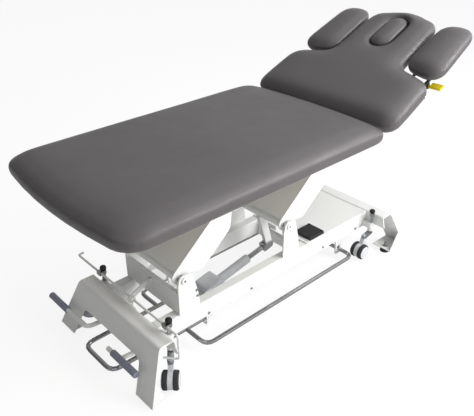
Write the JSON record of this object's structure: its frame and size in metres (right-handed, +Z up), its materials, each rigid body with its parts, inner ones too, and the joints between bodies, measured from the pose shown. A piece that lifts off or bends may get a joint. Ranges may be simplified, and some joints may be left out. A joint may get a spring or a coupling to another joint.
{
  "type": "massage table",
  "caption": "Electric massage table with a grey padded two-part couch, arm rests and face hole on a white steel scissor base with castors and foot switch bar",
  "frame": {"origin": "centre of the outline on the floor", "axes": "+X toward the head end, +Y toward the rear long side, +Z up"},
  "size_m": [1.7248, 0.7, 0.934],
  "materials": {
    "frame_paint": "white powder coat, satin",
    "leatherette": "warm grey leatherette, fine grain, semi matt",
    "plywood": "bare birch ply edges",
    "steel": "zinc plated",
    "chrome": "polished chrome plate",
    "black_plastic": "black, fine matt",
    "grey_plastic": "light grey, moulded",
    "rubber": "black, matt",
    "grip_rubber": "blue grey, matt",
    "yellow_plastic": "yellow, satin"
  },
  "bodies": {
    "base": {"foot_bridge": "frame_paint", "head_bridge": "frame_paint", "side_rail_front": "frame_paint", "side_rail_rear": "frame_paint", "foot_tower": "frame_paint", "head_upright_front": "frame_paint", "head_upright_rear": "frame_paint", "foot_lower_shaft": "steel", "head_lower_shaft": "steel", "base_crossbar": "frame_paint", "actuator_crossbar": "frame_paint", "actuator_rear_pin": "steel", "base_cover_plate": "frame_paint", "control_box": "black_plastic", "levelling_foot_foot_front": "rubber", "levelling_foot_foot_rear": "rubber", "levelling_foot_head_front": "rubber", "levelling_foot_head_rear": "rubber"},
    "foot_arm": {"foot_lift_arm": "frame_paint"},
    "head_arm": {"head_lift_arm": "frame_paint"},
    "couch_frame": {"top_frame": "frame_paint", "foot_upper_shaft": "steel", "head_upper_shaft": "steel", "head_hinge_shaft": "steel", "main_board": "plywood", "main_cushion": "leatherette"},
    "head_section": {"head_frame": "frame_paint", "head_board": "plywood", "head_cushion": "leatherette"},
    "face_plug": {"face_plug": "leatherette"},
    "arm_lock_front": {"arm_lock_front": "yellow_plastic"},
    "arm_lock_rear": {"arm_lock_rear": "yellow_plastic"},
    "armrest_front": {"arm_bracket_front": "black_plastic", "arm_pad_front": "leatherette"},
    "armrest_rear": {"arm_bracket_rear": "black_plastic", "arm_pad_rear": "leatherette"},
    "spring_body": {"gas_spring_body": "black_plastic"},
    "spring_rod": {"gas_spring_rod": "chrome"},
    "actuator_body": {"actuator_housing": "grey_plastic"},
    "actuator_rod": {"actuator_rod": "chrome"},
    "foot_castors": {"castor_carriage_foot_front": "steel", "castor_carriage_foot_rear": "steel", "castor_rod": "frame_paint"},
    "head_castors": {"castor_carriage_head_front": "steel", "castor_carriage_head_rear": "steel"},
    "castor_link": {"castor_link": "frame_paint"},
    "lift_pedal": {"lift_pedal_lever": "frame_paint", "lift_pedal_grip": "grip_rubber"},
    "release_pedal": {"release_pedal_lever": "frame_paint", "release_pedal_grip": "grip_rubber"},
    "switch_bar": {"switch_bar": "chrome"},
    "swivel_foot_front": {"castor_hood_foot_front": "grey_plastic"},
    "wheels_foot_front": {"castor_wheels_foot_front": "rubber"},
    "swivel_foot_rear": {"castor_hood_foot_rear": "grey_plastic"},
    "wheels_foot_rear": {"castor_wheels_foot_rear": "rubber"},
    "swivel_head_front": {"castor_hood_head_front": "grey_plastic"},
    "wheels_head_front": {"castor_wheels_head_front": "rubber"},
    "swivel_head_rear": {"castor_hood_head_rear": "grey_plastic"},
    "wheels_head_rear": {"castor_wheels_head_rear": "rubber"}
  },
  "joints": [
    {"name": "lift", "type": "hinge", "parent": "base", "child": "foot_arm", "pos_m": [-0.51939, 0, 0.30797], "axis": [0, -1, 0], "range_deg": [-26, 28]},
    {"name": "lift_head_arm", "type": "hinge", "parent": "base", "child": "head_arm", "pos_m": [-0.02641, 0, 0.30797], "axis": [0, -1, 0], "range_deg": [-26, 28]},
    {"name": "couch_level", "type": "hinge", "parent": "foot_arm", "child": "couch_frame", "pos_m": [-0.29127, 0, 0.5028], "axis": [0, -1, 0], "range_deg": [-28, 26]},
    {"name": "head_tilt", "type": "hinge", "parent": "couch_frame", "child": "head_section", "pos_m": [0.29561, 0, 0.6], "axis": [0, -1, 0], "range_deg": [-42, 4]},
    {"name": "plug_lift", "type": "slide", "parent": "head_section", "child": "face_plug", "axis": [-0.4051, 0, 0.9143], "range_m": [0, 0.12]},
    {"name": "armrest_front_fold", "type": "hinge", "parent": "head_section", "child": "armrest_front", "pos_m": [0.55038, -0.26, 0.70633], "axis": [0, -1, 0], "range_deg": [-60, 0]},
    {"name": "arm_lock_front_press", "type": "hinge", "parent": "armrest_front", "child": "arm_lock_front", "pos_m": [0.58879, -0.26, 0.7332], "axis": [0, -1, 0], "range_deg": [0, 14], "stiffness_Nm_per_rad": 0.8, "springref_deg": -5.73},
    {"name": "armrest_rear_fold", "type": "hinge", "parent": "head_section", "child": "armrest_rear", "pos_m": [0.55038, 0.26, 0.70633], "axis": [0, -1, 0], "range_deg": [-60, 0]},
    {"name": "arm_lock_rear_press", "type": "hinge", "parent": "armrest_rear", "child": "arm_lock_rear", "pos_m": [0.58879, 0.26, 0.7332], "axis": [0, -1, 0], "range_deg": [0, 14], "stiffness_Nm_per_rad": 0.8, "springref_deg": -5.73},
    {"name": "gas_spring_swing", "type": "hinge", "parent": "couch_frame", "child": "spring_body", "pos_m": [0.23161, 0, 0.5244], "axis": [0, -1, 0], "range_deg": [-32, 6]},
    {"name": "gas_spring_stroke", "type": "slide", "parent": "spring_body", "child": "spring_rod", "axis": [0.9668, 0, 0.2557], "range_m": [-0.06, 0.01]},
    {"name": "actuator_swing", "type": "hinge", "parent": "base", "child": "actuator_body", "pos_m": [-0.35441, 0, 0.066], "axis": [0, -1, 0], "range_deg": [-4, 4]},
    {"name": "actuator_stroke", "type": "slide", "parent": "actuator_body", "child": "actuator_rod", "axis": [0.9814, 0, 0.1921], "range_m": [-0.09, 0.09]},
    {"name": "lift_pedal", "type": "hinge", "parent": "base", "child": "lift_pedal", "pos_m": [-0.57239, 0, 0.068], "axis": [0, -1, 0], "range_deg": [0, 9]},
    {"name": "release_pedal", "type": "hinge", "parent": "base", "child": "release_pedal", "pos_m": [-0.57239, 0, 0.068], "axis": [0, -1, 0], "range_deg": [0, 6], "stiffness_Nm_per_rad": 30, "springref_deg": -1.72},
    {"name": "foot_castor_lift", "type": "slide", "parent": "base", "child": "foot_castors", "axis": [0, 0, -1], "range_m": [0, 0.0123]},
    {"name": "head_castor_lift", "type": "slide", "parent": "base", "child": "head_castors", "axis": [0, 0, -1], "range_m": [0, 0.0123]},
    {"name": "castor_link_swing", "type": "hinge", "parent": "base", "child": "castor_link", "pos_m": [-0.55939, 0, 0.24396], "axis": [0, -1, 0], "range_deg": [-1, 9]},
    {"name": "switch_bar_play", "type": "slide", "parent": "base", "child": "switch_bar", "axis": [0, 0, 1], "range_m": [-0.009, 0.009], "stiffness_N_per_m": 1600, "springref_m": 0.01406},
    {"name": "castor_swivel_foot_front", "type": "hinge", "parent": "foot_castors", "child": "swivel_foot_front", "pos_m": [-0.64879, -0.23319, 0.06], "axis": [0, 0, 1], "continuous": true},
    {"name": "castor_spin_foot_front", "type": "hinge", "parent": "swivel_foot_front", "child": "wheels_foot_front", "pos_m": [-0.66379, -0.24928, 0.041], "axis": [0.7314, -0.682, 0], "continuous": true},
    {"name": "castor_swivel_foot_rear", "type": "hinge", "parent": "foot_castors", "child": "swivel_foot_rear", "pos_m": [-0.64879, 0.23319, 0.06], "axis": [0, 0, 1], "continuous": true},
    {"name": "castor_spin_foot_rear", "type": "hinge", "parent": "swivel_foot_rear", "child": "wheels_foot_rear", "pos_m": [-0.66379, 0.24928, 0.041], "axis": [-0.7314, -0.682, 0], "continuous": true},
    {"name": "castor_swivel_head_front", "type": "hinge", "parent": "head_castors", "child": "swivel_head_front", "pos_m": [0.40011, -0.2001, 0.06], "axis": [0, 0, 1], "continuous": true},
    {"name": "castor_spin_head_front", "type": "hinge", "parent": "swivel_head_front", "child": "wheels_head_front", "pos_m": [0.37811, -0.2001, 0.041], "axis": [0, -1, 0], "continuous": true},
    {"name": "castor_swivel_head_rear", "type": "hinge", "parent": "head_castors", "child": "swivel_head_rear", "pos_m": [0.40011, 0.2001, 0.06], "axis": [0, 0, 1], "continuous": true},
    {"name": "castor_spin_head_rear", "type": "hinge", "parent": "swivel_head_rear", "child": "wheels_head_rear", "pos_m": [0.37811, 0.2001, 0.041], "axis": [0, -1, 0], "continuous": true}
  ],
  "couplings": [
    {"joint": "lift_head_arm", "follows": "lift", "ratio": 1},
    {"joint": "couch_level", "follows": "lift", "ratio": -1},
    {"joint": "actuator_swing", "follows": "lift", "ratio": 0.041},
    {"joint": "actuator_stroke", "follows": "lift", "m_per_rad": 0.1706},
    {"joint": "gas_spring_swing", "follows": "head_tilt", "ratio": 0.71},
    {"joint": "gas_spring_stroke", "follows": "head_tilt", "m_per_rad": 0.0708},
    {"joint": "foot_castor_lift", "follows": "lift_pedal", "m_per_rad": 0.076394},
    {"joint": "head_castor_lift", "follows": "lift_pedal", "m_per_rad": 0.076394},
    {"joint": "castor_link_swing", "follows": "lift_pedal", "ratio": 0.81667}
  ]
}
